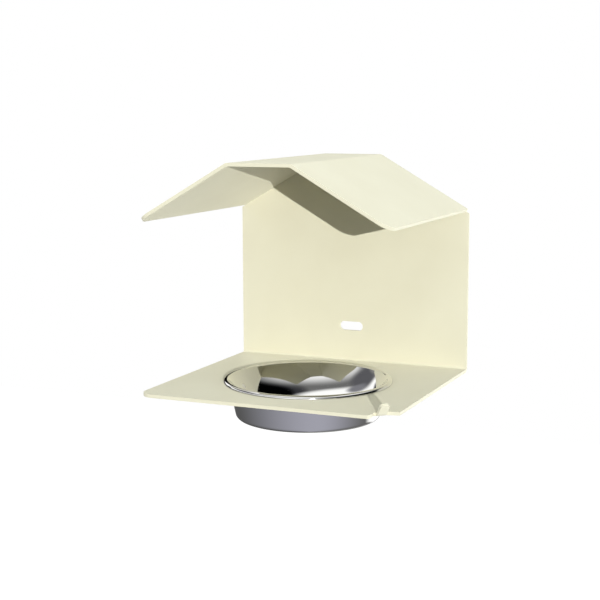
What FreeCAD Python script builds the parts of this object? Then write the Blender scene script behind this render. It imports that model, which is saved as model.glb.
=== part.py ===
import math
import os

import FreeCAD
import Part
import Sketcher

# A wall bird feeder in folded steel sheet: a back plate that turns into a shelf, a roof of three
# facets welded on the plate's top edge, and a stainless bowl that hangs by its rim in the shelf's
# hole. Millimetres and degrees. The origin is the middle of the wall slot on the wall plane, +Z is
# up, +X is to the right seen from the front, and the shelf reaches out from the wall along -Y.

SIZES = {
    "sheet": 2.5,
    "bend_radius": 1.5,
    "plate_width": 200.0,
    "shelf_depth": 183.7,
    "shelf_drop": 29.0,
    "slot_length": 20.5,
    "slot_width": 7.5,
    "roof_depth": 183.2,
    "roof_span": 195.1,
    "flat_span": 48.6,
    "roof_pitch": 30.0,
    "room_height": 169.6,
    "corner_radius": 12.0,
    "hole_radius": 62.5,
    "bowl_setback": 94.6,
    "bowl_sheet": 0.7,
    "bowl_mouth": 60.85,
    "bowl_taper": 12.0,
    "bowl_sink": 27.9,
    "bowl_corner": 4.5,
    "rim_roll": 2.4,
    "rim_gap": 0.3,
    "notch_in": 16.4,
    "notch_reach": 9.9,
    "notch_end_in": 10.0,
    "notch_end_back": 15.8,
    "notch_back": 18.4,
    "notch_round": 1.5,
    "tongue_in": 12.6,
    "tongue_back": 13.4,
    "tongue_turn": 43.0,
    "tongue_rise": 51.0,
    "tongue_width": 6.8,
    "tongue_bend": 2.5,
    "tongue_reach": 8.8,
    "tongue_round": 2.0,
    "tongue_root": 1.0,
}

# Places that follow from the sizes, as formulas over the sheet.
PLATE_HALF = "sizes.plate_width / 2"
SHELF_TOP = "-sizes.shelf_drop"
SHELF_UNDER = "-sizes.shelf_drop - sizes.sheet"
OUTER_BEND = "sizes.bend_radius + sizes.sheet"
PITCH = "sizes.roof_pitch * 1 deg"
FLAT_LEVEL = "(sizes.room_height - sizes.shelf_drop)"
FLAT_HALF = "sizes.flat_span / 2"
ROOF_HALF = "sizes.roof_span / 2"
EAVE_LEVEL = f"{FLAT_LEVEL} - (sizes.roof_span - sizes.flat_span) / 2 * tan({PITCH})"
SHOULDER_LEVEL = f"{FLAT_LEVEL} - (sizes.plate_width - sizes.flat_span) / 2 * tan({PITCH})"
FLAT_OUTER_HALF = f"{FLAT_HALF} + sizes.sheet * tan({PITCH} / 2)"
ABOVE_ROOF = f"{FLAT_LEVEL} + 10 * sizes.sheet"

TAPER = "sizes.bowl_taper * 1 deg"
RIM_CENTRE = f"(sizes.bowl_mouth + (sizes.rim_roll + sizes.rim_gap * sin({TAPER})) / cos({TAPER}))"
RIM_BORE = "(sizes.rim_roll - sizes.bowl_sheet)"
LIP_IN_R = f"({RIM_CENTRE} - sizes.rim_roll * cos({TAPER}))"
LIP_IN_Z = f"(sizes.rim_gap + sizes.rim_roll * sin({TAPER}))"
LIP_OUT_R = f"({RIM_CENTRE} - {RIM_BORE} * cos({TAPER}))"
LIP_OUT_Z = f"(sizes.rim_gap + {RIM_BORE} * sin({TAPER}))"
FLOOR_TOP = "(sizes.bowl_sheet - sizes.bowl_sink)"
FLOOR_IN_R = f"{LIP_IN_R} - ({LIP_IN_Z} - {FLOOR_TOP}) * tan({TAPER})"
FLOOR_OUT_R = f"{LIP_OUT_R} - ({LIP_OUT_Z} + sizes.bowl_sink) * tan({TAPER})"

THROUGH = 100.0
NEAR = 1e-3
ROLL_FACETS = 6


def make_sheet(doc):
    """The driving sizes, one aliased cell each."""
    sheet = doc.addObject("Spreadsheet::Sheet", "sizes")
    for row, (alias, value) in enumerate(SIZES.items(), start=1):
        sheet.set(f"A{row}", str(value))
        sheet.setAlias(f"A{row}", alias)
    doc.recompute()
    return sheet


def make_body(doc, name):
    body = doc.addObject("PartDesign::Body", name)
    body.Label = name
    return body


def sketch_on(body, name, role):
    """A sketch on one of the body's own origin planes."""
    sketch = body.newObject("Sketcher::SketchObject", name)
    plane = next(item for item in body.Origin.OriginFeatures if item.Role == role)
    sketch.AttachmentSupport = [(plane, "")]
    sketch.MapMode = "FlatFace"
    return sketch


def pin(sketch, name, geometry, point, across, up):
    """Hold a point of the sketch at two places measured from the sketch's origin."""
    for kind, tag, formula in (("DistanceX", "x", across), ("DistanceY", "y", up)):
        if formula == "0":
            axis = -2 if kind == "DistanceX" else -1
            sketch.addConstraint(Sketcher.Constraint("PointOnObject", geometry, point, axis))
            continue
        position = sketch.getPoint(geometry, point)
        value = position.x if kind == "DistanceX" else position.y
        index = sketch.addConstraint(Sketcher.Constraint(kind, -1, 1, geometry, point, value))
        sketch.renameConstraint(index, f"{name}_{tag}")
        sketch.setExpression(f"Constraints.{name}_{tag}", formula)


def polygon(sketch, corners):
    """A closed outline whose corners sit where their formulas say."""
    count = len(corners)
    turn = 2 * math.pi / count
    start = [FreeCAD.Vector(50 * math.cos(i * turn), 50 * math.sin(i * turn), 0) for i in range(count)]
    for i in range(count):
        sketch.addGeometry(Part.LineSegment(start[i], start[(i + 1) % count]), False)
    for i in range(count):
        sketch.addConstraint(Sketcher.Constraint("Coincident", i, 2, (i + 1) % count, 1))
    for i, (across, up) in enumerate(corners):
        pin(sketch, f"corner{i}", i, 1, across, up)
    return sketch


def dimension(sketch, name, constraint, formula):
    index = sketch.addConstraint(constraint)
    sketch.renameConstraint(index, name)
    sketch.setExpression(f"Constraints.{name}", formula)


def pad(body, name, sketch, length, midplane=False):
    feature = body.newObject("PartDesign::Pad", name)
    feature.Profile = sketch
    feature.Midplane = midplane
    feature.setExpression("Length", length)
    sketch.Visibility = False
    return feature


def cut(doc, body, name, sketch):
    """A straight cut to both sides of the sketch, which has to take material away."""
    doc.recompute()
    before = body.Shape.Volume
    feature = body.newObject("PartDesign::Pocket", name)
    feature.Profile = sketch
    feature.Midplane = True
    feature.Length = 2 * THROUGH
    sketch.Visibility = False
    doc.recompute()
    if body.Shape.Volume > before - 1.0:
        raise RuntimeError(f"{name} cut nothing")
    return feature


def edges_where(feature, test):
    """Names of the feature's straight edges whose two ends pass the test."""
    names = []
    for number, edge in enumerate(feature.Shape.Edges, start=1):
        ends = [vertex.Point for vertex in edge.Vertexes]
        if len(ends) == 2 and isinstance(edge.Curve, Part.Line) and test(ends[0], ends[1]):
            names.append(f"Edge{number}")
    return names


def round_edges(doc, body, name, test, radius, expected):
    """Round the edges that pass the test by the radius, and insist on how many there are."""
    doc.recompute()
    base = body.Tip
    names = edges_where(base, test)
    if len(names) != expected:
        raise RuntimeError(f"{name}: found {len(names)} edges, expected {expected}")
    feature = body.newObject("PartDesign::Fillet", name)
    feature.Base = (base, names)
    feature.setExpression("Radius", radius)
    doc.recompute()
    return feature


def along_x_at(y, z):
    """Test for an edge that runs along X through the given y and z."""
    def test(a, b):
        return all(abs(p.y - y) < NEAR and abs(p.z - z) < NEAR for p in (a, b))
    return test


def along_y_at(half, z):
    """Test for an edge that runs along Y at plus or minus half and the given z."""
    def test(a, b):
        same = abs(a.x - b.x) < NEAR and abs(a.z - b.z) < NEAR
        return same and abs(abs(a.x) - half) < NEAR and abs(a.z - z) < NEAR
    return test


def upright_at(x, y):
    """Test for an upright edge at the given x and y."""
    def test(a, b):
        return all(abs(p.x - x) < NEAR and abs(p.y - y) < NEAR for p in (a, b))
    return test


def fold_profile(body):
    """Side view of the folded blank: the plate's back and front, and the shelf's top and underside."""
    corners = [
        ("0", ABOVE_ROOF),
        ("-sizes.sheet", ABOVE_ROOF),
        ("-sizes.sheet", SHELF_TOP),
        ("-sizes.shelf_depth", SHELF_TOP),
        ("-sizes.shelf_depth", SHELF_UNDER),
        ("0", SHELF_UNDER),
    ]
    return polygon(sketch_on(body, "fold_profile", "YZ_Plane"), corners)


def gable_profile(body):
    """All that is cut off above the roof's underside, so that the plate's top edge follows it."""
    corners = [
        (f"-{PLATE_HALF}", SHOULDER_LEVEL),
        (f"-{FLAT_HALF}", FLAT_LEVEL),
        (FLAT_HALF, FLAT_LEVEL),
        (PLATE_HALF, SHOULDER_LEVEL),
        (PLATE_HALF, f"{ABOVE_ROOF} + sizes.sheet"),
        (f"-{PLATE_HALF}", f"{ABOVE_ROOF} + sizes.sheet"),
    ]
    return polygon(sketch_on(body, "gable_profile", "XZ_Plane"), corners)


def slot_profile(body):
    """The wall slot: round ends of half its width, centred on the origin."""
    sketch = sketch_on(body, "slot_profile", "XZ_Plane")
    radius = SIZES["slot_width"] / 2
    reach = SIZES["slot_length"] / 2 - radius
    normal = FreeCAD.Vector(0, 0, 1)
    right = Part.Circle(FreeCAD.Vector(reach, 0, 0), normal, radius)
    left = Part.Circle(FreeCAD.Vector(-reach, 0, 0), normal, radius)
    sketch.addGeometry(Part.ArcOfCircle(right, -math.pi / 2, math.pi / 2), False)
    sketch.addGeometry(Part.ArcOfCircle(left, math.pi / 2, 3 * math.pi / 2), False)
    for side in (1, -1):
        ends = (FreeCAD.Vector(side * reach, side * radius, 0), FreeCAD.Vector(-side * reach, side * radius, 0))
        sketch.addGeometry(Part.LineSegment(*ends), False)
    for line, arc_out, arc_in in ((2, 0, 1), (3, 1, 0)):
        sketch.addConstraint(Sketcher.Constraint("Tangent", arc_out, 2, line, 1))
        sketch.addConstraint(Sketcher.Constraint("Tangent", line, 2, arc_in, 1))
    sketch.addConstraint(Sketcher.Constraint("Equal", 0, 1))
    sketch.addConstraint(Sketcher.Constraint("PointOnObject", 0, 3, -1))
    sketch.addConstraint(Sketcher.Constraint("Symmetric", 0, 3, 1, 3, -1, 1))
    dimension(sketch, "end_radius", Sketcher.Constraint("Radius", 0, radius), "sizes.slot_width / 2")
    reach_formula = "(sizes.slot_length - sizes.slot_width) / 2"
    dimension(sketch, "end_reach", Sketcher.Constraint("DistanceX", -1, 1, 0, 3, reach), reach_formula)
    return sketch


def hole_profile(body):
    """The round hole that takes the bowl."""
    sketch = sketch_on(body, "hole_profile", "XY_Plane")
    radius = SIZES["hole_radius"]
    centre = FreeCAD.Vector(0, -SIZES["bowl_setback"], 0)
    sketch.addGeometry(Part.Circle(centre, FreeCAD.Vector(0, 0, 1), radius), False)
    pin(sketch, "centre", 0, 3, "0", "-sizes.bowl_setback")
    dimension(sketch, "radius", Sketcher.Constraint("Radius", 0, radius), "sizes.hole_radius")
    return sketch


def notch_profile(body):
    """The bite out of the front right corner: a side, a slanting root for the tongue, and a back."""
    corners = [
        (f"{PLATE_HALF} - sizes.notch_in", "-sizes.shelf_depth - sizes.sheet"),
        (f"{PLATE_HALF} - sizes.notch_in", "-sizes.shelf_depth + sizes.notch_reach"),
        (f"{PLATE_HALF} - sizes.notch_end_in", "-sizes.shelf_depth + sizes.notch_end_back"),
        (PLATE_HALF, "-sizes.shelf_depth + sizes.notch_back"),
        (f"{PLATE_HALF} + sizes.sheet", "-sizes.shelf_depth + sizes.notch_back"),
        (f"{PLATE_HALF} + sizes.sheet", "-sizes.shelf_depth - sizes.sheet"),
    ]
    return polygon(sketch_on(body, "notch_profile", "XY_Plane"), corners)


def tongue_profile(body):
    """Side view of the tongue: a short root in the shelf, one bend, and a straight reach."""
    sketch = sketch_on(body, "tongue_profile", "XZ_Plane")
    sketch.AttachmentOffset = FreeCAD.Placement(
        FreeCAD.Vector(0, 0, 0), FreeCAD.Rotation(FreeCAD.Vector(0, 1, 0), SIZES["tongue_turn"] - 90))
    sketch.setExpression("AttachmentOffset.Base.x", f"{PLATE_HALF} - sizes.tongue_in")
    sketch.setExpression("AttachmentOffset.Base.y", SHELF_TOP)
    sketch.setExpression("AttachmentOffset.Base.z", "sizes.shelf_depth - sizes.tongue_back")
    sketch.setExpression("AttachmentOffset.Rotation.Angle", "sizes.tongue_turn - 90")
    rise = math.radians(SIZES["tongue_rise"])
    inner, thick, reach = SIZES["tongue_bend"], SIZES["sheet"], SIZES["tongue_reach"]
    root, outer = SIZES["tongue_root"], SIZES["tongue_bend"] + SIZES["sheet"]

    def at(radius, along):
        across = radius * math.sin(rise) + along * math.cos(rise)
        up = inner - radius * math.cos(rise) + along * math.sin(rise)
        return FreeCAD.Vector(across, up, 0)

    centre = FreeCAD.Vector(0, inner, 0)
    normal = FreeCAD.Vector(0, 0, 1)
    arcs = [Part.ArcOfCircle(Part.Circle(centre, normal, radius), -math.pi / 2, rise - math.pi / 2)
            for radius in (inner, outer)]
    lines = [
        (FreeCAD.Vector(-root, 0, 0), FreeCAD.Vector(0, 0, 0)),
        (at(inner, 0), at(inner, reach)),
        (at(inner, reach), at(outer, reach)),
        (at(outer, reach), at(outer, 0)),
        (FreeCAD.Vector(0, -thick, 0), FreeCAD.Vector(-root, -thick, 0)),
        (FreeCAD.Vector(-root, -thick, 0), FreeCAD.Vector(-root, 0, 0)),
    ]
    for arc in arcs:
        sketch.addGeometry(arc, False)
    for start, end in lines:
        sketch.addGeometry(Part.LineSegment(start, end), False)
    top, slope_in, tip, slope_out, under, back = range(2, 8)
    joins = [(top, 2, 0, 1), (0, 2, slope_in, 1), (slope_out, 2, 1, 2), (1, 1, under, 1)]
    for first, first_point, second, second_point in joins:
        sketch.addConstraint(Sketcher.Constraint("Tangent", first, first_point, second, second_point))
    corners = [(slope_in, tip), (tip, slope_out), (under, back), (back, top)]
    for first, second in corners:
        sketch.addConstraint(Sketcher.Constraint("Coincident", first, 2, second, 1))
    sketch.addConstraint(Sketcher.Constraint("Coincident", top, 2, -1, 1))
    sketch.addConstraint(Sketcher.Constraint("Coincident", 0, 3, 1, 3))
    sketch.addConstraint(Sketcher.Constraint("Horizontal", top))
    sketch.addConstraint(Sketcher.Constraint("Vertical", back))
    sketch.addConstraint(Sketcher.Constraint("Perpendicular", slope_in, tip))
    dimension(sketch, "bend", Sketcher.Constraint("Radius", 0, inner), "sizes.tongue_bend")
    dimension(sketch, "thick", Sketcher.Constraint("Distance", back, thick), "sizes.sheet")
    dimension(sketch, "root", Sketcher.Constraint("Distance", top, root), "sizes.tongue_root")
    dimension(sketch, "reach", Sketcher.Constraint("Distance", slope_in, reach), "sizes.tongue_reach")
    angle = Sketcher.Constraint("Angle", slope_in, rise)
    dimension(sketch, "rise", angle, "sizes.tongue_rise * 1 deg")
    return sketch


def make_backplate_shelf(doc):
    """One folded blank: the back plate, its slot, the shelf with its hole, notch and tongue."""
    body = make_body(doc, "backplate_shelf")
    pad(body, "fold", fold_profile(body), "sizes.plate_width", midplane=True)
    under = -SIZES["shelf_drop"] - SIZES["sheet"]
    front = -SIZES["shelf_depth"]
    inside = along_x_at(-SIZES["sheet"], -SIZES["shelf_drop"])
    round_edges(doc, body, "fold_inside", inside, "sizes.bend_radius", 1)
    round_edges(doc, body, "fold_outside", along_x_at(0, under), OUTER_BEND, 1)
    cut(doc, body, "gable", gable_profile(body))
    flat_level = SIZES["room_height"] - SIZES["shelf_drop"]
    ridge = along_y_at(SIZES["flat_span"] / 2, flat_level)
    round_edges(doc, body, "gable_bends", ridge, "sizes.bend_radius", 2)
    cut(doc, body, "bowl_hole", hole_profile(body))
    cut(doc, body, "wall_slot", slot_profile(body))
    cut(doc, body, "corner_notch", notch_profile(body))
    left_corner = upright_at(-SIZES["plate_width"] / 2, front)
    round_edges(doc, body, "left_corner", left_corner, "sizes.corner_radius", 1)
    notch_mouth = upright_at(SIZES["plate_width"] / 2 - SIZES["notch_in"], front)
    round_edges(doc, body, "notch_mouth", notch_mouth, "sizes.notch_round", 1)
    pad(body, "tongue", tongue_profile(body), "sizes.tongue_width", midplane=True)
    round_edges(doc, body, "tongue_tip", tongue_tip_edges(), "sizes.tongue_round", 2)
    return body


def tongue_tip_edges():
    """Test for the two short edges where the tongue's end meets its sides."""
    rise, turn = math.radians(SIZES["tongue_rise"]), math.radians(SIZES["tongue_turn"])
    end = math.sin(rise), -math.cos(rise)
    across = FreeCAD.Vector(end[0] * math.sin(turn), -end[0] * math.cos(turn), end[1])

    def test(a, b):
        step = b - a
        return (a.z > -SIZES["shelf_drop"] and b.z > -SIZES["shelf_drop"]
                and abs(step.Length - SIZES["sheet"]) < NEAR
                and abs(abs(step * across) - SIZES["sheet"]) < NEAR)
    return test


def roof_profile(body):
    """Front view of the roof: the underside and, one sheet further out, the top."""
    lean_x = "sizes.sheet * sin(sizes.roof_pitch * 1 deg)"
    lean_z = "sizes.sheet * cos(sizes.roof_pitch * 1 deg)"
    right = [
        (ROOF_HALF, EAVE_LEVEL),
        (f"{ROOF_HALF} + {lean_x}", f"{EAVE_LEVEL} + {lean_z}"),
        (FLAT_OUTER_HALF, f"{FLAT_LEVEL} + sizes.sheet"),
    ]
    left = [(f"-({across})", up) for across, up in reversed(right)]
    underside = [(f"-({FLAT_HALF})", FLAT_LEVEL), (FLAT_HALF, FLAT_LEVEL)]
    return polygon(sketch_on(body, "roof_profile", "XZ_Plane"), right + left + underside)


def make_roof(doc):
    """A flat top and two slopes from one sheet, with round corners at the front of the eaves."""
    body = make_body(doc, "roof")
    pad(body, "facets", roof_profile(body), "sizes.roof_depth")
    pitch = math.radians(SIZES["roof_pitch"])
    half = SIZES["flat_span"] / 2
    flat_level = SIZES["room_height"] - SIZES["shelf_drop"]
    outer_half = half + SIZES["sheet"] * math.tan(pitch / 2)
    round_edges(doc, body, "bends_under", along_y_at(half, flat_level), "sizes.bend_radius", 2)
    outer = along_y_at(outer_half, flat_level + SIZES["sheet"])
    round_edges(doc, body, "bends_over", outer, OUTER_BEND, 2)
    round_edges(doc, body, "eave_corners", eave_corner_edges(), "sizes.corner_radius", 2)
    return body


def eave_corner_edges():
    """Test for the sheet-thick edges at the front ends of the two eaves."""
    def test(a, b):
        at_front = abs(a.y + SIZES["roof_depth"]) < NEAR and abs(b.y + SIZES["roof_depth"]) < NEAR
        thick = abs((b - a).Length - SIZES["sheet"]) < NEAR
        return at_front and thick and abs(a.x) > SIZES["roof_span"] / 2 - NEAR
    return test


def rim_profile(body):
    """Section of the rolled rim: from the wall over the top and down to an open lip just above the shelf.

    Both faces of the roll are arcs about the rim's centre, drawn as short straight facets.
    """
    outside, inside = [], []
    for step in range(ROLL_FACETS + 1):
        angle = f"((180 - sizes.bowl_taper) * {step} / {ROLL_FACETS} * 1 deg)"
        for radius, side in (("sizes.rim_roll", outside), (RIM_BORE, inside)):
            across = f"{RIM_CENTRE} + {radius} * cos{angle}"
            side.append((across, f"sizes.rim_gap + {radius} * sin{angle}"))
    return polygon(sketch_on(body, "rim_profile", "XZ_Plane"), outside + inside[::-1])


def wall_profile(body):
    """Half of the bowl's section from the rim's root down the tapered wall to the axis."""
    corners = [
        (LIP_IN_R, LIP_IN_Z),
        (FLOOR_IN_R, FLOOR_TOP),
        ("0", FLOOR_TOP),
        ("0", "-sizes.bowl_sink"),
        (FLOOR_OUT_R, "-sizes.bowl_sink"),
        (LIP_OUT_R, LIP_OUT_Z),
    ]
    return polygon(sketch_on(body, "wall_profile", "XZ_Plane"), corners)


def revolve(body, name, sketch):
    feature = body.newObject("PartDesign::Revolution", name)
    feature.Profile = sketch
    axis = next(item for item in body.Origin.OriginFeatures if item.Role == "Z_Axis")
    feature.ReferenceAxis = (axis, [""])
    feature.Angle = 360.0
    sketch.Visibility = False
    return feature


def round_circle(doc, body, name, level, radius):
    """Round the largest circular edge at the given level."""
    doc.recompute()
    base = body.Tip
    found = []
    for number, edge in enumerate(base.Shape.Edges, start=1):
        if isinstance(edge.Curve, Part.Circle) and abs(edge.Curve.Center.z - level) < NEAR:
            found.append((edge.Curve.Radius, f"Edge{number}"))
    if not found:
        raise RuntimeError(f"{name}: no circle at {level}")
    feature = body.newObject("PartDesign::Fillet", name)
    feature.Base = (base, [max(found)[1]])
    feature.setExpression("Radius", radius)
    doc.recompute()
    return feature


def make_bowl(doc):
    """A drawn steel bowl: tapered wall, round corner, flat floor, rim rolled outwards."""
    body = make_body(doc, "bowl")
    revolve(body, "wall", wall_profile(body))
    sink, sheet = SIZES["bowl_sink"], SIZES["bowl_sheet"]
    round_circle(doc, body, "corner_outside", -sink, "sizes.bowl_corner")
    round_circle(doc, body, "corner_inside", sheet - sink, "sizes.bowl_corner - sizes.bowl_sheet")
    revolve(body, "rim", rim_profile(body))
    doc.recompute()
    body.setExpression("Placement.Base.y", "-sizes.bowl_setback")
    body.setExpression("Placement.Base.z", SHELF_TOP)
    return body


def check(doc, bodies):
    """Stop if any object failed or any piece isn't one valid solid."""
    failed = [item.Name for item in doc.Objects if {"Invalid", "Error"} & set(item.State)]
    if failed:
        raise RuntimeError(f"failed objects: {failed}")
    for body in bodies:
        shape = body.Shape
        if shape.isNull() or not shape.isValid() or len(shape.Solids) != 1:
            raise RuntimeError(f"{body.Label} isn't one valid solid")


doc = FreeCAD.newDocument("bird_feeder")
make_sheet(doc)
bodies = [make_backplate_shelf(doc), make_roof(doc), make_bowl(doc)]
doc.recompute()
check(doc, bodies)

os.makedirs("parts", exist_ok=True)
for body in bodies:
    shape = body.Shape
    shape.exportStep(f"parts/{body.Label}.step")
    box = shape.BoundBox
    low = tuple(round(value, 2) for value in (box.XMin, box.YMin, box.ZMin))
    high = tuple(round(value, 2) for value in (box.XMax, box.YMax, box.ZMax))
    print(f"{body.Label}: volume {shape.Volume:.0f} mm3, from {low} to {high}")
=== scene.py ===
"""Looks of a wall bird feeder: coated folded sheet, a polished steel bowl, and the stage round them."""

import math

import bpy
import numpy as np
from mathutils import Matrix, Vector


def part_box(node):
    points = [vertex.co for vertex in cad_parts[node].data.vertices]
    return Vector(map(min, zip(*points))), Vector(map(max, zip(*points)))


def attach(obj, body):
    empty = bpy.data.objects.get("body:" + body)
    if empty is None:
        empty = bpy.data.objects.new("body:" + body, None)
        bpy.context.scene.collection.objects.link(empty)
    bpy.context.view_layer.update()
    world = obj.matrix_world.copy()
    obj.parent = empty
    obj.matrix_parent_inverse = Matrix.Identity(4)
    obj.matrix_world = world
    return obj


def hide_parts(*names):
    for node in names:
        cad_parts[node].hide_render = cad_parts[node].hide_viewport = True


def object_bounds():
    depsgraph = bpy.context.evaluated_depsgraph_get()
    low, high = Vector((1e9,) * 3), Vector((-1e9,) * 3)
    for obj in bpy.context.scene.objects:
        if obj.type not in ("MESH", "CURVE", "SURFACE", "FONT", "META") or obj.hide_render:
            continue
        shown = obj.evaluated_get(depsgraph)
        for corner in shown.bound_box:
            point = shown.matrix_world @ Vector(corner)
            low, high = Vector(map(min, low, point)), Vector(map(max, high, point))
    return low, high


bl_info = {
    "name": "Wall bird feeder",
    "version": (1, 0, 0),
    "blender": (4, 5, 0),
    "location": "3D View > Sidebar > Feeder",
    "description": "Finishes a folded-sheet bird feeder and its steel bowl, and lights it",
    "category": "Object",
}

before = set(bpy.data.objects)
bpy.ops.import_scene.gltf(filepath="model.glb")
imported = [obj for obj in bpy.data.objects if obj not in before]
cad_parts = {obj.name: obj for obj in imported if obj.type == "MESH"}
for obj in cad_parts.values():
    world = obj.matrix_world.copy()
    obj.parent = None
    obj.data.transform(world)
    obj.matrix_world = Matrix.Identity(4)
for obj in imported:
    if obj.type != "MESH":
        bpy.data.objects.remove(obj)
CAD_LOW, CAD_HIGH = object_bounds()
MM = 0.001

# The folded sheets: seams closed up to a gap, and the edges that the coat rounds
SHEET_NODES = ("backplate_shelf", "roof")
SEAM_GAP = 0.002 * MM
EDGE_SEGMENTS = 3
EDGE_ANGLE = math.radians(40)

# The powder coat: width of the clouds in its tint, width and depth of its orange peel
COAT_CLOUD = 45 * MM
COAT_PEEL = 1.1 * MM
COAT_PEEL_DEPTH = 0.05 * MM
COAT_IOR = 1.5

# The bowl: its place from the frame, and how many points each stretch of its section gets
BOWL_LOW, BOWL_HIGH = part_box("bowl")
BOWL_RADIUS = (BOWL_HIGH.x - BOWL_LOW.x) / 2
BOWL_AXIS_Y = (BOWL_HIGH.y + BOWL_LOW.y) / 2
BOWL_TURNS = 256
FLOOR_POINTS = 12
CORNER_POINTS = 13
WALL_POINTS = 10
BORE_POINTS = 17
LIP_POINTS = 7
ROLL_POINTS = 25

# The polished steel: pitch of its rings, least and most roughness across them, width and depth of its sway
STEEL_RING_PITCH = 15.08 * MM
STEEL_SMOOTH, STEEL_ROUGH = 0.04, 0.06
STEEL_SWAY = 28 * MM
STEEL_SWAY_DEPTH = 0.15 * MM

# The floor: how far below the feeder it lies, half its width, its glow where it is looked at, and its colour
FLOOR_DROP = 1.6
FLOOR_HALF = 6.0
FLOOR_GLOW = 0.97
FLOOR_COLOUR = "#e8e8e8"

# The tent that the steel mirrors, round a point inside the bowl. The steel sends back about 0.7 of what it
# mirrors, and the tent's strength makes up for that, so that a tone shows about as it is written.
TENT_MIDDLE = (0.0, BOWL_AXIS_Y, BOWL_LOW.z + 20 * MM)
TENT_RADIUS = 1.5
TENT_TURNS = 48
TENT_RINGS = 24
TENT_STRENGTH = 1.44
# Its plain tones, as sRGB hex. The floor goes by turns in degrees, -180 behind, -90 left, 0 front, 90 right:
# pale in front, grey behind, dark in between. The walls go by the rise above the horizon: grey, a dark band,
# and a white roof. The floor passes into the walls between the two rises of the horizon.
TENT_FLOOR = ((-180, "#909090"), (-130, "#505050"), (40, "#a0a0ac"), (140, "#606060"), (180, "#909090"))
TENT_WALLS = ((0, "#a0a0a0"), (35, "#6a6a6a"), (54, "#f0f0f0"))
TENT_HORIZON = (-3, 5)
# Its painted reflections, each over the ones before: bright patches that the steel shows like soft boxes,
# dark ones like black flags, and pale cream ones. Turn and rise of the middle, half width and half height in
# degrees, softness of the edge, squareness, colour.
TENT_PANELS = (
    (68, 13, 41, 21, 0.3, 1, "#303034"),
    (98, 13, 50, 21.5, 0.15, 1, "#020202"),
    (-30, 5, 96, 24.8, 0.12, 0, "#ffffff"),
    (-112, 10, 26, 14.5, 0.2, 1, "#ffffff"),
    (-84, 33, 25, 10, 0.4, 0, "#58585c"),
    (-67, 25.5, 18, 3.8, 0.5, 0, "#7a7a80"),
    (-110, 11, 6, 8, 0.4, 0, "#404042"),
    (-80, -2, 66, 13, 0.2, 1, "#2c2c30"),
    (60, -2, 26, 15, 0.3, 1, "#505054"),
    (-138, 38, 30, 12, 0.3, 0, "#c4c2b8"),
    (-149, 10, 13, 13, 0.15, 1, "#060606"),
    (164, -10, 46, 21, 0.15, 0, "#ffffff"),
    (155, 12, 24, 12, 0.2, 1, "#c6c4b4"),
)

# The hard key lamp: turn, rise and spread in degrees, and a distance that only sets where it stands
KEY_TURN, KEY_RISE, KEY_SPREAD = 29.04, 6.59, 0.25
KEY_DISTANCE = 3

# The soft boxes that light the sheet: name, turn and rise in degrees, width, the setting of its power, colour
COOL_WHITE = "#f5fbff"
PURE_WHITE = "#ffffff"
SOFT_LAMPS = (
    ("top_lamp", 20, 60, 1.0, "top_power", COOL_WHITE),
    ("right_lamp", 98, 8, 0.8, "right_power", COOL_WHITE),
    ("front_lamp", 50, 10, 0.8, "front_power", COOL_WHITE),
    ("low_lamp", 10, -45, 0.8, "low_power", COOL_WHITE),
    ("high_left_lamp", -40, 30, 0.8, "high_left_power", COOL_WHITE),
    ("left_lamp", -100, 32, 0.8, "left_power", PURE_WHITE),
    ("back_lamp", -130, 45, 0.8, "back_power", COOL_WHITE),
    ("rear_lamp", 180, -20, 0.8, "rear_power", PURE_WHITE),
)
SOFT_LAMP_DISTANCE = 1.3
SOFT_LAMP_TARGET = Vector((0, BOWL_AXIS_Y, 50 * MM))

# The camera: width of its picture in millimetres, and the nearest and farthest thing it sees, in metres
SENSOR_WIDTH = 36.0
CLIP_START, CLIP_END = 0.01, 50.0


class FeederSheetSettings(bpy.types.PropertyGroup):
    """Sizes and colours of the coated sheet."""

    coat_colour: bpy.props.StringProperty(
        name="Coat colour", description="Ivory of the powder coat, as an sRGB hex value", default="#e6e3cd")
    coat_thin_colour: bpy.props.StringProperty(
        name="Thin coat colour", description="Where the coat lies thinner, as an sRGB hex value",
        default="#dedac2")
    edge_round: bpy.props.FloatProperty(
        name="Edge rounding", description="Radius that the coat gives every cut edge",
        default=0.4 * MM, min=0.0, unit="LENGTH", precision=5)
    coat_roughness: bpy.props.FloatProperty(
        name="Coat roughness", description="Satin gloss of the powder coat", default=0.5, min=0.0, max=1.0,
        subtype="FACTOR")
    coat_scatter: bpy.props.FloatProperty(
        name="Coat scatter", description="How far the chalky coat sends light back at a low angle",
        default=0.6, min=0.0, max=1.0, subtype="FACTOR")


class FeederBowlSettings(bpy.types.PropertyGroup):
    """Sizes and colours of the steel bowl."""

    steel_colour: bpy.props.StringProperty(
        name="Steel colour", default="#d8d8d6",
        description="Reflection colour of polished stainless steel, as an sRGB hex value")
    steel_thickness: bpy.props.FloatProperty(
        name="Steel thickness", description="Wall of the drawn bowl", default=0.7 * MM, min=0.0,
        unit="LENGTH", precision=5)
    wall_taper: bpy.props.FloatProperty(
        name="Wall taper", description="Lean of the bowl's wall from upright", default=math.radians(12.0),
        subtype="ANGLE")
    floor_corner: bpy.props.FloatProperty(
        name="Floor corner", description="Outside radius between the wall and the floor", default=4.5 * MM,
        min=0.0, unit="LENGTH", precision=5)
    rim_roll: bpy.props.FloatProperty(
        name="Rim roll", description="Outside radius of the rolled rim", default=2.4 * MM, min=0.0,
        unit="LENGTH", precision=5)
    mouth_flare: bpy.props.FloatProperty(
        name="Mouth flare", description="How far the polished inside leans back at the mouth, in its shading",
        default=math.radians(40.0), subtype="ANGLE")
    foot_flare: bpy.props.FloatProperty(
        name="Foot flare", description="How far the polished inside leans back at the floor, in its shading",
        default=math.radians(17.0), subtype="ANGLE")


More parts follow.
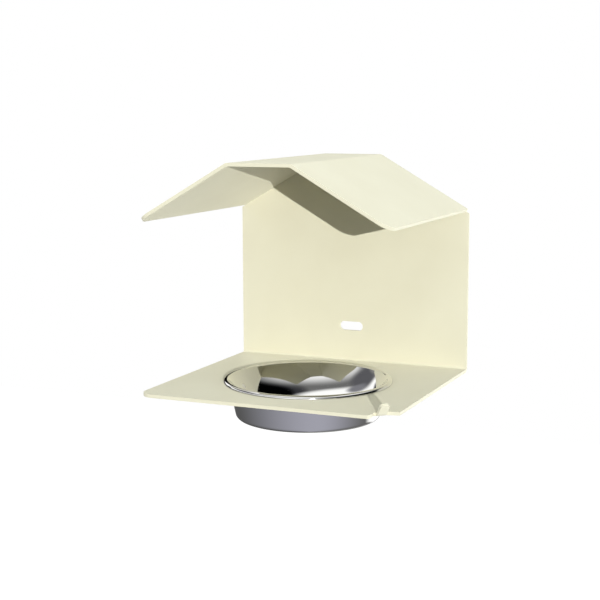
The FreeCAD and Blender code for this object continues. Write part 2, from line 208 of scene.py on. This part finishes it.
class FeederStageSettings(bpy.types.PropertyGroup):
    """Place of the camera and strength of the lamps."""

    camera_azimuth: bpy.props.FloatProperty(
        name="Camera azimuth", description="Turn of the camera to the right of straight ahead",
        default=math.radians(23.497), subtype="ANGLE")
    camera_elevation: bpy.props.FloatProperty(
        name="Camera elevation", description="Height of the camera above the horizon",
        default=math.radians(8.516), subtype="ANGLE")
    camera_roll: bpy.props.FloatProperty(
        name="Camera roll", description="Tilt of the camera about its line of sight",
        default=math.radians(-0.182), subtype="ANGLE")
    camera_distance: bpy.props.FloatProperty(
        name="Camera distance", description="From the camera to the point it looks at", default=1.066362,
        min=0.1, unit="LENGTH")
    camera_target: bpy.props.FloatVectorProperty(
        name="Camera target", description="Point that the camera looks at",
        default=(-0.024862, -0.0525, 0.027421), size=3, unit="LENGTH", precision=5)
    camera_lens: bpy.props.FloatProperty(
        name="Camera lens", description="Focal length in millimetres on a 36 mm wide picture", default=79.376,
        min=1.0)
    key_strength: bpy.props.FloatProperty(
        name="Key strength", description="Light of the hard key lamp, in watts per square metre",
        default=2.58, min=0.0)
    top_power: bpy.props.FloatProperty(
        name="Top lamp power", description="Power of the large soft box above the front", default=4.2,
        min=0.0, unit="POWER")
    right_power: bpy.props.FloatProperty(
        name="Right lamp power", description="Power of the soft box on the right", default=6.0, min=0.0,
        unit="POWER")
    front_power: bpy.props.FloatProperty(
        name="Front lamp power", description="Power of the soft box at the front right", default=3.5, min=0.0,
        unit="POWER")
    low_power: bpy.props.FloatProperty(
        name="Low lamp power", description="Power of the soft box below the front", default=1.4, min=0.0,
        unit="POWER")
    high_left_power: bpy.props.FloatProperty(
        name="High left lamp power", description="Power of the soft box at the front left", default=1.9,
        min=0.0, unit="POWER")
    left_power: bpy.props.FloatProperty(
        name="Left lamp power", description="Power of the soft box above the left side", default=5.6,
        min=0.0, unit="POWER")
    back_power: bpy.props.FloatProperty(
        name="Back lamp power", description="Power of the soft box at the back left", default=2.5, min=0.0,
        unit="POWER")
    rear_power: bpy.props.FloatProperty(
        name="Rear lamp power", description="Power of the soft box behind the wall side", default=17.0,
        min=0.0, unit="POWER")
    fill_strength: bpy.props.FloatProperty(
        name="Room light", description="Even light from all round on dull surfaces", default=0.03, min=0.0)


def linear(hex_colour):
    """Linear RGBA of an sRGB hex value, by the sRGB curve."""
    digits = hex_colour.lstrip("#")
    srgb = np.array([int(digits[i:i + 2], 16) for i in (0, 2, 4)]) / 255.0
    rgb = np.where(srgb <= 0.04045, srgb / 12.92, ((srgb + 0.055) / 1.055) ** 2.4)
    return (*map(float, rgb), 1.0)


def add_node(tree, kind, links=None, stops=(), **settings):
    """Add one node: links name the sockets it feeds from, settings are its inputs or its attributes.

    A colour ramp takes its stops as pairs of place and hex colour.
    """
    node = tree.nodes.new(kind)
    for name, value in settings.items():
        socket = node.inputs.get(name.replace("_", " "))
        if socket is not None:
            socket.default_value = value
        else:
            setattr(node, name, value)
    for name, source in (links or {}).items():
        tree.links.new(source, node.inputs[name])
    for index, (place, colour) in enumerate(stops):
        elements = node.color_ramp.elements
        stop = elements[index] if index < 2 else elements.new(place)
        stop.position, stop.color = place, linear(colour)
    return node


def new_material(name):
    """An empty node material and its output node."""
    material = bpy.data.materials.new(name)
    material.use_nodes = True
    material.node_tree.nodes.clear()
    output = add_node(material.node_tree, "ShaderNodeOutputMaterial")
    return material, material.node_tree, output


def powder_coat_material(settings):
    """Fine-textured polyester powder coat on folded steel.

    Baked powder levels into a satin skin with a faint orange peel of about 1 mm, and its chalky pigment
    sends light back at low angles, so faces that turn away from the lamp stay bright.
    """
    material, tree, output = new_material("ivory_powder_coat")
    place = add_node(tree, "ShaderNodeTexCoord")
    cloud = add_node(tree, "ShaderNodeTexNoise", {"Vector": place.outputs["Object"]},
                     Scale=1 / COAT_CLOUD, Detail=3.0, Roughness=0.5)
    tint = add_node(tree, "ShaderNodeMix", {"Factor": cloud.outputs["Fac"]}, data_type="RGBA",
                    A=linear(settings.coat_thin_colour), B=linear(settings.coat_colour))
    peel = add_node(tree, "ShaderNodeTexNoise", {"Vector": place.outputs["Object"]},
                    Scale=1 / COAT_PEEL, Detail=2.0, Roughness=0.55)
    bump = add_node(tree, "ShaderNodeBump", {"Height": peel.outputs["Fac"]},
                    Strength=0.25, Distance=COAT_PEEL_DEPTH)
    shader = add_node(tree, "ShaderNodeBsdfPrincipled",
                      {"Base Color": tint.outputs["Result"], "Normal": bump.outputs["Normal"]},
                      Roughness=settings.coat_roughness, IOR=COAT_IOR,
                      Diffuse_Roughness=settings.coat_scatter)
    tree.links.new(shader.outputs["BSDF"], output.inputs["Surface"])
    return material


def polished_steel_material(settings):
    """Drawn and polished 18/10 stainless steel.

    Drawn sheet, buffed on a turning wheel, is a near mirror with faint rings and a slow sway in what it
    mirrors. Real rings are too fine to show, and are drawn as soft bands 15 mm apart. At a scale of 1 the
    wave pattern runs 20 radians in a metre, so its scale is tau / 20 over the pitch.
    """
    material, tree, output = new_material("polished_stainless_steel")
    place = add_node(tree, "ShaderNodeTexCoord")
    centre = add_node(tree, "ShaderNodeMapping", {"Vector": place.outputs["Object"]},
                      Location=(0.0, -BOWL_AXIS_Y, 0.0))
    rings = add_node(tree, "ShaderNodeTexWave", {"Vector": centre.outputs["Vector"]}, wave_type="RINGS",
                     rings_direction="Z", Scale=math.tau / 20 / STEEL_RING_PITCH, Distortion=0.6, Detail=2.0)
    rough = add_node(tree, "ShaderNodeMapRange", {"Value": rings.outputs["Fac"]},
                     To_Min=STEEL_SMOOTH, To_Max=STEEL_ROUGH)
    sway = add_node(tree, "ShaderNodeTexNoise", {"Vector": place.outputs["Object"]},
                    Scale=1 / STEEL_SWAY, Detail=1.0)
    bump = add_node(tree, "ShaderNodeBump", {"Height": sway.outputs["Fac"]},
                    Strength=0.3, Distance=STEEL_SWAY_DEPTH)
    shader = add_node(tree, "ShaderNodeBsdfPrincipled",
                      {"Roughness": rough.outputs["Result"], "Normal": bump.outputs["Normal"]},
                      Base_Color=linear(settings.steel_colour), Metallic=1.0)
    tree.links.new(shader.outputs["BSDF"], output.inputs["Surface"])
    return material


def finish_sheet(node, settings, material):
    """Give a folded sheet its coat, and round its cut edges as baked powder does."""
    for slot in node.material_slots:
        slot.material = material
    weld = node.modifiers.new("close_seams", "WELD")
    weld.merge_threshold = SEAM_GAP
    edges = node.modifiers.new("coat_round", "BEVEL")
    edges.width = settings.edge_round
    edges.segments = EDGE_SEGMENTS
    edges.limit_method = "ANGLE"
    edges.angle_limit = EDGE_ANGLE
    flat = node.modifiers.new("keep_flats", "WEIGHTED_NORMAL")
    flat.mode = "FACE_AREA"
    flat.weight = 100


def arc(centre, radius, start, end, steps):
    """Points on an arc about a centre in the (r, z) plane, from a start to an end angle in radians."""
    angle = np.linspace(start, end, steps)
    return np.stack([centre[0] + radius * np.cos(angle), centre[1] + radius * np.sin(angle)], axis=1)


def bowl_section(settings):
    """The bowl's closed half section in (r, z) from the axis under the floor round to the axis above it.

    Outside: floor, corner arc, tapered wall, the inside of the rolled rim; then the lip, the outside of the
    roll, the inner wall, its corner arc and the floor's top. Straight stretches carry extra points.
    """
    taper, sheet, roll = settings.wall_taper, settings.steel_thickness, settings.rim_roll
    bore = roll - sheet
    rim = np.array([BOWL_RADIUS - roll, BOWL_HIGH.z - roll])
    under, over = BOWL_LOW.z, BOWL_LOW.z + sheet
    inward = np.array([-math.cos(taper), math.sin(taper)])
    outer_top, inner_top = rim + bore * inward, rim + roll * inward
    outer_corner, inner_corner = settings.floor_corner, settings.floor_corner - sheet

    def corner_centre(top, level, radius):
        """Centre of the arc that touches the floor at level and the wall line through top from inside."""
        z = level + radius
        wall_r = top[0] - (top[1] - z) * math.tan(taper)
        return np.array([wall_r - radius / math.cos(taper), z])

    low = corner_centre(outer_top, under, outer_corner)
    high = corner_centre(inner_top, over, inner_corner)

    def straight(start, end, steps):
        """Evenly spaced points between a start and an end, without either."""
        return np.asarray(start) + np.linspace(0, 1, steps + 2)[1:-1, None] * (np.asarray(end) - start)

    corner_out = arc(low, outer_corner, -math.pi / 2, -taper, CORNER_POINTS)
    corner_in = arc(high, inner_corner, -taper, -math.pi / 2, CORNER_POINTS)
    bore_arc = arc(rim, bore, math.pi - taper, 0.0, BORE_POINTS)
    lip = arc(rim + (bore + sheet / 2, 0.0), sheet / 2, math.pi, 2 * math.pi, LIP_POINTS)[1:-1]
    roll_arc = arc(rim, roll, 0.0, math.pi - taper, ROLL_POINTS)
    return np.concatenate([
        [[0.0, under]], straight((0.0, under), corner_out[0], FLOOR_POINTS), corner_out,
        straight(corner_out[-1], bore_arc[0], WALL_POINTS), bore_arc, lip, roll_arc,
        straight(roll_arc[-1], corner_in[0], WALL_POINTS), corner_in,
        straight(corner_in[-1], (0.0, over), FLOOR_POINTS), [[0.0, over]]])


def section_normals(section, settings):
    """Normals of the section in (r, z): the tangent between the neighbours of each point, turned outwards.

    On the inner wall the normal rises at least by an angle that runs in a straight line of z from the flare
    at the mouth to the flare at the foot, which stands for the gentle curve of the real wall.
    """
    along = np.gradient(section, axis=0)
    normal = np.stack([along[:, 1], -along[:, 0]], axis=1)
    normal /= np.linalg.norm(normal, axis=1, keepdims=True)
    normal[0], normal[-1] = (0.0, -1.0), (0.0, 1.0)
    mouth = BOWL_HIGH.z - settings.rim_roll
    corner = BOWL_LOW.z + settings.floor_corner
    down = np.clip((mouth - section[:, 1]) / (mouth - corner), 0.0, 1.0)
    rise = settings.mouth_flare + down * (settings.foot_flare - settings.mouth_flare)
    inside = (normal[:, 0] < 0.0) & (section[:, 0] < BOWL_RADIUS - settings.rim_roll)
    eased = np.where(inside, np.maximum(np.arctan2(normal[:, 1], -normal[:, 0]), rise), 0.0)
    normal[inside] = np.stack([-np.cos(eased), np.sin(eased)], axis=1)[inside]
    return normal


def turned(pairs, turns):
    """Carry pairs (r, z) round an upright axis, ring after ring: (r cos a, r sin a, z) for every turn a.

    The first and the last pair belong to the axis, and follow the rings as (0, 0, z).
    """
    angle = np.linspace(0, 2 * np.pi, turns, endpoint=False)
    radius, height = pairs[1:-1, None, 0], pairs[1:-1, None, 1]
    x = radius * np.cos(angle)
    y = radius * np.sin(angle)
    rings = np.stack([x, y, np.broadcast_to(height, x.shape)], axis=-1).reshape(-1, 3)
    return np.concatenate([rings, [[0.0, 0.0, pairs[0, 1]], [0.0, 0.0, pairs[-1, 1]]]])


def revolve_mesh(name, section, turns):
    """A closed surface of revolution: the (r, z) section, which starts and ends on the bowl's axis, turned.

    Quads join each ring to the next, and fans of triangles join the first and the last ring to the axis. A
    section that runs up its outside and down its inside gives faces that point outwards.
    """
    rings = len(section) - 2
    ring, turn = np.meshgrid(np.arange(rings - 1) * turns, np.arange(turns), indexing="ij")
    following = (turn + 1) % turns
    quads = np.stack([ring + turn, ring + following, ring + turns + following, ring + turns + turn], axis=-1)
    around = np.arange(turns)
    beyond = (around + 1) % turns
    last = (rings - 1) * turns
    first_fan = np.stack([np.full(turns, rings * turns), beyond, around], axis=-1)
    last_fan = np.stack([np.full(turns, rings * turns + 1), last + around, last + beyond], axis=-1)
    points = turned(section, turns) + (0.0, BOWL_AXIS_Y, 0.0)
    mesh = bpy.data.meshes.new(name)
    mesh.from_pydata(points.tolist(), [],
                     quads.reshape(-1, 4).tolist() + first_fan.tolist() + last_fan.tolist())
    return mesh


def shade_as_section(mesh, normals, turns):
    """Smooth a revolved mesh by its section's normals, which turn with it."""
    mesh.shade_smooth()
    mesh.update()
    mesh.normals_split_custom_set_from_vertices(turned(normals, turns).tolist())


def add_object(name, data):
    """An object at the origin, linked to the scene."""
    made = bpy.data.objects.new(name, data)
    bpy.context.scene.collection.objects.link(made)
    return made


class FEEDER_OT_finish_sheets(bpy.types.Operator):
    """Coat the back plate with its shelf, and the roof"""

    bl_idname = "feeder.finish_sheets"
    bl_label = "Finish the sheets"

    def execute(self, context):
        settings = context.scene.feeder_sheet
        material = powder_coat_material(settings)
        for name in SHEET_NODES:
            finish_sheet(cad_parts[name], settings, material)
        return {"FINISHED"}


class FEEDER_OT_make_bowl(bpy.types.Operator):
    """Turn the steel bowl from its section, in place of the faceted one"""

    bl_idname = "feeder.make_bowl"
    bl_label = "Make the bowl"

    def execute(self, context):
        settings = context.scene.feeder_bowl
        section = bowl_section(settings)
        mesh = revolve_mesh("steel_bowl", section, BOWL_TURNS)
        shade_as_section(mesh, section_normals(section, settings), BOWL_TURNS)
        bowl = add_object("steel_bowl", mesh)
        bowl.data.materials.append(polished_steel_material(settings))
        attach(bowl, "bowl")
        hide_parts("bowl")
        return {"FINISHED"}


def looked_at(tree):
    """A socket: 1 where the camera, a reflection or a glass looks, and 0 for light on dull surfaces."""
    ray = add_node(tree, "ShaderNodeLightPath")
    seen = add_node(tree, "ShaderNodeMath",
                    {0: ray.outputs["Is Camera Ray"], 1: ray.outputs["Is Glossy Ray"]}, operation="MAXIMUM")
    through = add_node(tree, "ShaderNodeMath",
                       {0: seen.outputs["Value"], 1: ray.outputs["Is Transmission Ray"]}, operation="MAXIMUM")
    return through.outputs["Value"]


def floor_material():
    """A pale matt floor that shows as white, and keeps what shadow falls on it."""
    material, tree, output = new_material("pale_floor")
    level = add_node(tree, "ShaderNodeMath", {0: looked_at(tree)}, operation="MULTIPLY")
    level.inputs[1].default_value = FLOOR_GLOW
    glow = add_node(tree, "ShaderNodeEmission", {"Strength": level.outputs["Value"]})
    matt = add_node(tree, "ShaderNodeBsdfDiffuse", Color=linear(FLOOR_COLOUR))
    both = add_node(tree, "ShaderNodeAddShader", {0: glow.outputs["Emission"], 1: matt.outputs["BSDF"]})
    tree.links.new(both.outputs["Shader"], output.inputs["Surface"])
    material.cycles.emission_sampling = "NONE"
    return material


def add_floor():
    """A level square far below the feeder."""
    half, level = FLOOR_HALF, CAD_LOW.z - FLOOR_DROP
    mesh = bpy.data.meshes.new("floor")
    corners = [(-half, -half, level), (half, -half, level), (half, half, level), (-half, half, level)]
    mesh.from_pydata(corners, [], [(0, 1, 2, 3)])
    floor = add_object("floor", mesh)
    floor.data.materials.append(floor_material())


def light_room(strength):
    """White where the camera, a reflection or a glass looks, and an even soft light on dull surfaces."""
    world = bpy.data.worlds.new("white_room")
    world.use_nodes = True
    tree = world.node_tree
    tree.nodes.clear()
    output = add_node(tree, "ShaderNodeOutputWorld")
    level = add_node(tree, "ShaderNodeMix", {"Factor": looked_at(tree)}, data_type="FLOAT", A=strength, B=1.0)
    light = add_node(tree, "ShaderNodeBackground", {"Strength": level.outputs["Result"]},
                     Color=linear(PURE_WHITE))
    tree.links.new(light.outputs["Background"], output.inputs["Surface"])
    bpy.context.scene.world = world


def tent_material():
    """A tent of plain greys with painted reflections, bright and dark patches that the steel mirrors like
    soft boxes and black flags, placed by the direction from the bowl.

    With u and v the turn and the rise from a panel's middle over its half width and half height, an ellipse
    covers u^2 + v^2 < 1 and a rectangle with round corners, of squareness 1, covers u^4 + v^4 < 1.
    """
    material, tree, output = new_material("reflection_tent")
    place = add_node(tree, "ShaderNodeTexCoord")
    from_bowl = add_node(tree, "ShaderNodeVectorMath", {0: place.outputs["Object"]}, operation="SUBTRACT")
    from_bowl.inputs[1].default_value = TENT_MIDDLE
    way = add_node(tree, "ShaderNodeVectorMath", {0: from_bowl.outputs["Vector"]}, operation="NORMALIZE")
    parts = add_node(tree, "ShaderNodeSeparateXYZ", {"Vector": way.outputs["Vector"]})
    front = add_node(tree, "ShaderNodeMath", {0: parts.outputs["Y"]}, operation="MULTIPLY")
    front.inputs[1].default_value = -1.0
    turn = add_node(tree, "ShaderNodeMath", {0: parts.outputs["X"], 1: front.outputs["Value"]},
                    operation="ARCTAN2")
    rise = add_node(tree, "ShaderNodeMath", {0: parts.outputs["Z"]}, operation="ARCSINE")
    both = add_node(tree, "ShaderNodeCombineXYZ", {"X": turn.outputs["Value"], "Y": rise.outputs["Value"]})
    along = add_node(tree, "ShaderNodeMapRange", {"Value": turn.outputs["Value"]},
                     From_Min=-math.pi, From_Max=math.pi)
    above = add_node(tree, "ShaderNodeMapRange", {"Value": rise.outputs["Value"]}, From_Max=math.pi / 2)
    floor = add_node(tree, "ShaderNodeValToRGB", {"Fac": along.outputs["Result"]},
                     [((angle + 180) / 360, colour) for angle, colour in TENT_FLOOR])
    walls = add_node(tree, "ShaderNodeValToRGB", {"Fac": above.outputs["Result"]},
                     [(angle / 90, colour) for angle, colour in TENT_WALLS])
    floor.color_ramp.interpolation = walls.color_ramp.interpolation = "EASE"
    floor_end, walls_start = map(math.radians, TENT_HORIZON)
    up = add_node(tree, "ShaderNodeMapRange", {"Value": rise.outputs["Value"]},
                  interpolation_type="SMOOTHSTEP", From_Min=floor_end, From_Max=walls_start)
    whole = add_node(tree, "ShaderNodeMix", {"Factor": up.outputs["Result"], "A": floor.outputs["Color"],
                                             "B": walls.outputs["Color"]}, data_type="RGBA")
    seen = whole.outputs["Result"]
    for middle, height, half_width, half_height, soft, squareness, colour in TENT_PANELS:
        away = add_node(tree, "ShaderNodeVectorMath", {0: both.outputs["Vector"]}, operation="SUBTRACT")
        away.inputs[1].default_value = (math.radians(middle), math.radians(height), 0.0)
        shape = add_node(tree, "ShaderNodeVectorMath", {0: away.outputs["Vector"]}, operation="DIVIDE")
        shape.inputs[1].default_value = (math.radians(half_width), math.radians(half_height), 1.0)
        for _ in range(squareness):
            shape = add_node(tree, "ShaderNodeVectorMath",
                             {0: shape.outputs["Vector"], 1: shape.outputs["Vector"]}, operation="MULTIPLY")
        reach = add_node(tree, "ShaderNodeVectorMath",
                         {0: shape.outputs["Vector"], 1: shape.outputs["Vector"]}, operation="DOT_PRODUCT")
        power = 2 + 2 * squareness
        cover = add_node(tree, "ShaderNodeMapRange", {"Value": reach.outputs["Value"]},
                         interpolation_type="SMOOTHSTEP", From_Min=(1 - soft) ** power,
                         From_Max=(1 + soft) ** power, To_Min=1.0, To_Max=0.0)
        layer = add_node(tree, "ShaderNodeMix", {"Factor": cover.outputs["Result"], "A": seen},
                         data_type="RGBA", B=linear(colour))
        seen = layer.outputs["Result"]
    glow = add_node(tree, "ShaderNodeEmission", {"Color": seen}, Strength=TENT_STRENGTH)
    tree.links.new(glow.outputs["Emission"], output.inputs["Surface"])
    material.cycles.emission_sampling = "NONE"
    return material


def add_tent():
    """The sphere that only reflections see: a half circle turned about the bowl's axis."""
    middle = (0.0, TENT_MIDDLE[2])
    half_circle = arc(middle, TENT_RADIUS, -math.pi / 2, math.pi / 2, TENT_RINGS + 1)
    tent = add_object("reflection_tent", revolve_mesh("reflection_tent", half_circle, TENT_TURNS))
    tent.data.materials.append(tent_material())
    tent.visible_camera = tent.visible_diffuse = tent.visible_transmission = tent.visible_shadow = False


def direction(turn, rise):
    """Unit vector at a turn to the right of front (-Y) and a rise over the horizon, both in radians."""
    return Vector((math.sin(turn) * math.cos(rise), -math.cos(turn) * math.cos(rise), math.sin(rise)))


def aim(made, place, target):
    """Stand a lamp at a place and face it to a target."""
    made.location = place
    made.rotation_euler = (target - place).to_track_quat("-Z", "Y").to_euler()


def add_key_lamp(strength):
    """A distant hard lamp, close to the camera's line of sight."""
    lamp = bpy.data.lights.new("key_lamp", "SUN")
    lamp.energy = strength
    lamp.angle = math.radians(KEY_SPREAD)
    place = KEY_DISTANCE * direction(math.radians(KEY_TURN), math.radians(KEY_RISE))
    aim(add_object("key_lamp", lamp), place, Vector((0, 0, 0)))


def add_soft_lamps(settings):
    """Square soft boxes aimed at the feeder, which the polished steel doesn't mirror."""
    for name, turn, rise, width, power, colour in SOFT_LAMPS:
        lamp = bpy.data.lights.new(name, "AREA")
        lamp.shape = "SQUARE"
        lamp.size = width
        lamp.energy = getattr(settings, power)
        lamp.color = linear(colour)[:3]
        made = add_object(name, lamp)
        place = SOFT_LAMP_TARGET + SOFT_LAMP_DISTANCE * direction(math.radians(turn), math.radians(rise))
        aim(made, place, SOFT_LAMP_TARGET)
        made.visible_glossy = False


def place_camera(settings):
    """Camera at the photograph's angle, with its roll about the line of sight."""
    back = direction(settings.camera_azimuth, settings.camera_elevation)
    right = (-back).cross(Vector((0, 0, 1))).normalized()
    up = right.cross(-back)
    roll = settings.camera_roll
    rolled_right = math.cos(roll) * right + math.sin(roll) * up
    rolled_up = math.cos(roll) * up - math.sin(roll) * right
    camera = bpy.data.cameras.new("photo_camera")
    camera.lens = settings.camera_lens
    camera.sensor_width = SENSOR_WIDTH
    camera.clip_start, camera.clip_end = CLIP_START, CLIP_END
    made = add_object("photo_camera", camera)
    facing = Matrix((rolled_right, rolled_up, back)).transposed()
    place = Vector(settings.camera_target) + settings.camera_distance * back
    made.matrix_world = Matrix.Translation(place) @ facing.to_4x4()
    bpy.context.scene.camera = made


class FEEDER_OT_make_stage(bpy.types.Operator):
    """Set up the floor, the tent, the room, the lamps and the camera"""

    bl_idname = "feeder.make_stage"
    bl_label = "Make the stage"

    def execute(self, context):
        settings = context.scene.feeder_stage
        add_floor()
        add_tent()
        light_room(settings.fill_strength)
        add_key_lamp(settings.key_strength)
        add_soft_lamps(settings)
        place_camera(settings)
        context.scene.view_settings.view_transform = "Standard"
        return {"FINISHED"}


class FEEDER_PT_panel(bpy.types.Panel):
    """The feeder's steps in order"""

    bl_idname = "FEEDER_PT_panel"
    bl_label = "Wall bird feeder"
    bl_space_type = "VIEW_3D"
    bl_region_type = "UI"
    bl_category = "Feeder"

    def draw(self, context):
        for step in STEPS:
            self.layout.operator(step.bl_idname)


GROUPS = {
    "feeder_sheet": FeederSheetSettings,
    "feeder_bowl": FeederBowlSettings,
    "feeder_stage": FeederStageSettings,
}
STEPS = (FEEDER_OT_finish_sheets, FEEDER_OT_make_bowl, FEEDER_OT_make_stage)


def register():
    for made in (*GROUPS.values(), *STEPS, FEEDER_PT_panel):
        bpy.utils.register_class(made)
    for name, group in GROUPS.items():
        setattr(bpy.types.Scene, name, bpy.props.PointerProperty(type=group))


def unregister():
    for name in GROUPS:
        delattr(bpy.types.Scene, name)
    for made in reversed((*GROUPS.values(), *STEPS, FEEDER_PT_panel)):
        bpy.utils.unregister_class(made)


def main():
    register()
    for step in STEPS:
        group, name = step.bl_idname.split(".")
        getattr(getattr(bpy.ops, group), name)()


if __name__ == "__main__":
    main()
